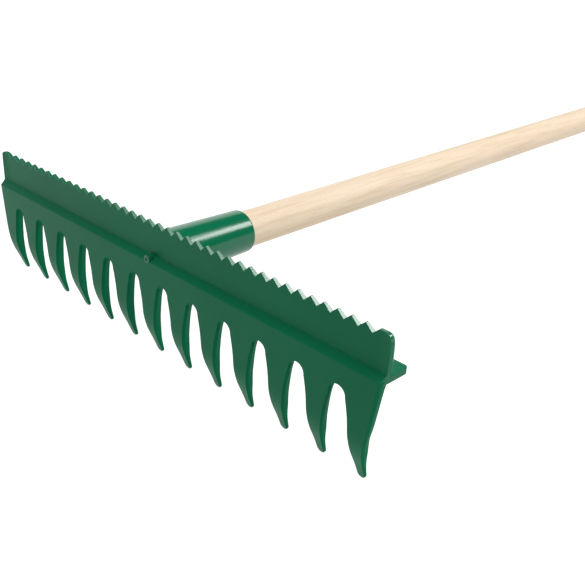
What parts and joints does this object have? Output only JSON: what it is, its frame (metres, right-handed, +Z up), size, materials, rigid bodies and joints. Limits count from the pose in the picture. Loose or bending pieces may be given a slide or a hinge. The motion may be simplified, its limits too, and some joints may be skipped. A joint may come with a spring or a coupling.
{
  "type": "garden rake",
  "caption": "Double-sided moulded garden rake: back-curved tines below, serrated levelling edge above, with a socket on a long round wooden handle.",
  "frame": {"origin": "middle of the footprint of the rake lying tines down, on the ground plane that the tine tips and the handle's free end touch", "axes": "+X along the head's width, +Y from the head towards the handle's free end, +Z up"},
  "size_m": [0.4068, 1.516, 0.1012],
  "materials": {
    "moulded_head": "satin moulded plastic, glossier on the socket",
    "handle_wood": "sanded pale hardwood, clear matt finish",
    "screw_steel": "bright zinc plating"
  },
  "bodies": {
    "root": {"rake_head": "moulded_head", "handle": "handle_wood", "fixing_screw": "screw_steel"}
  },
  "joints": []
}
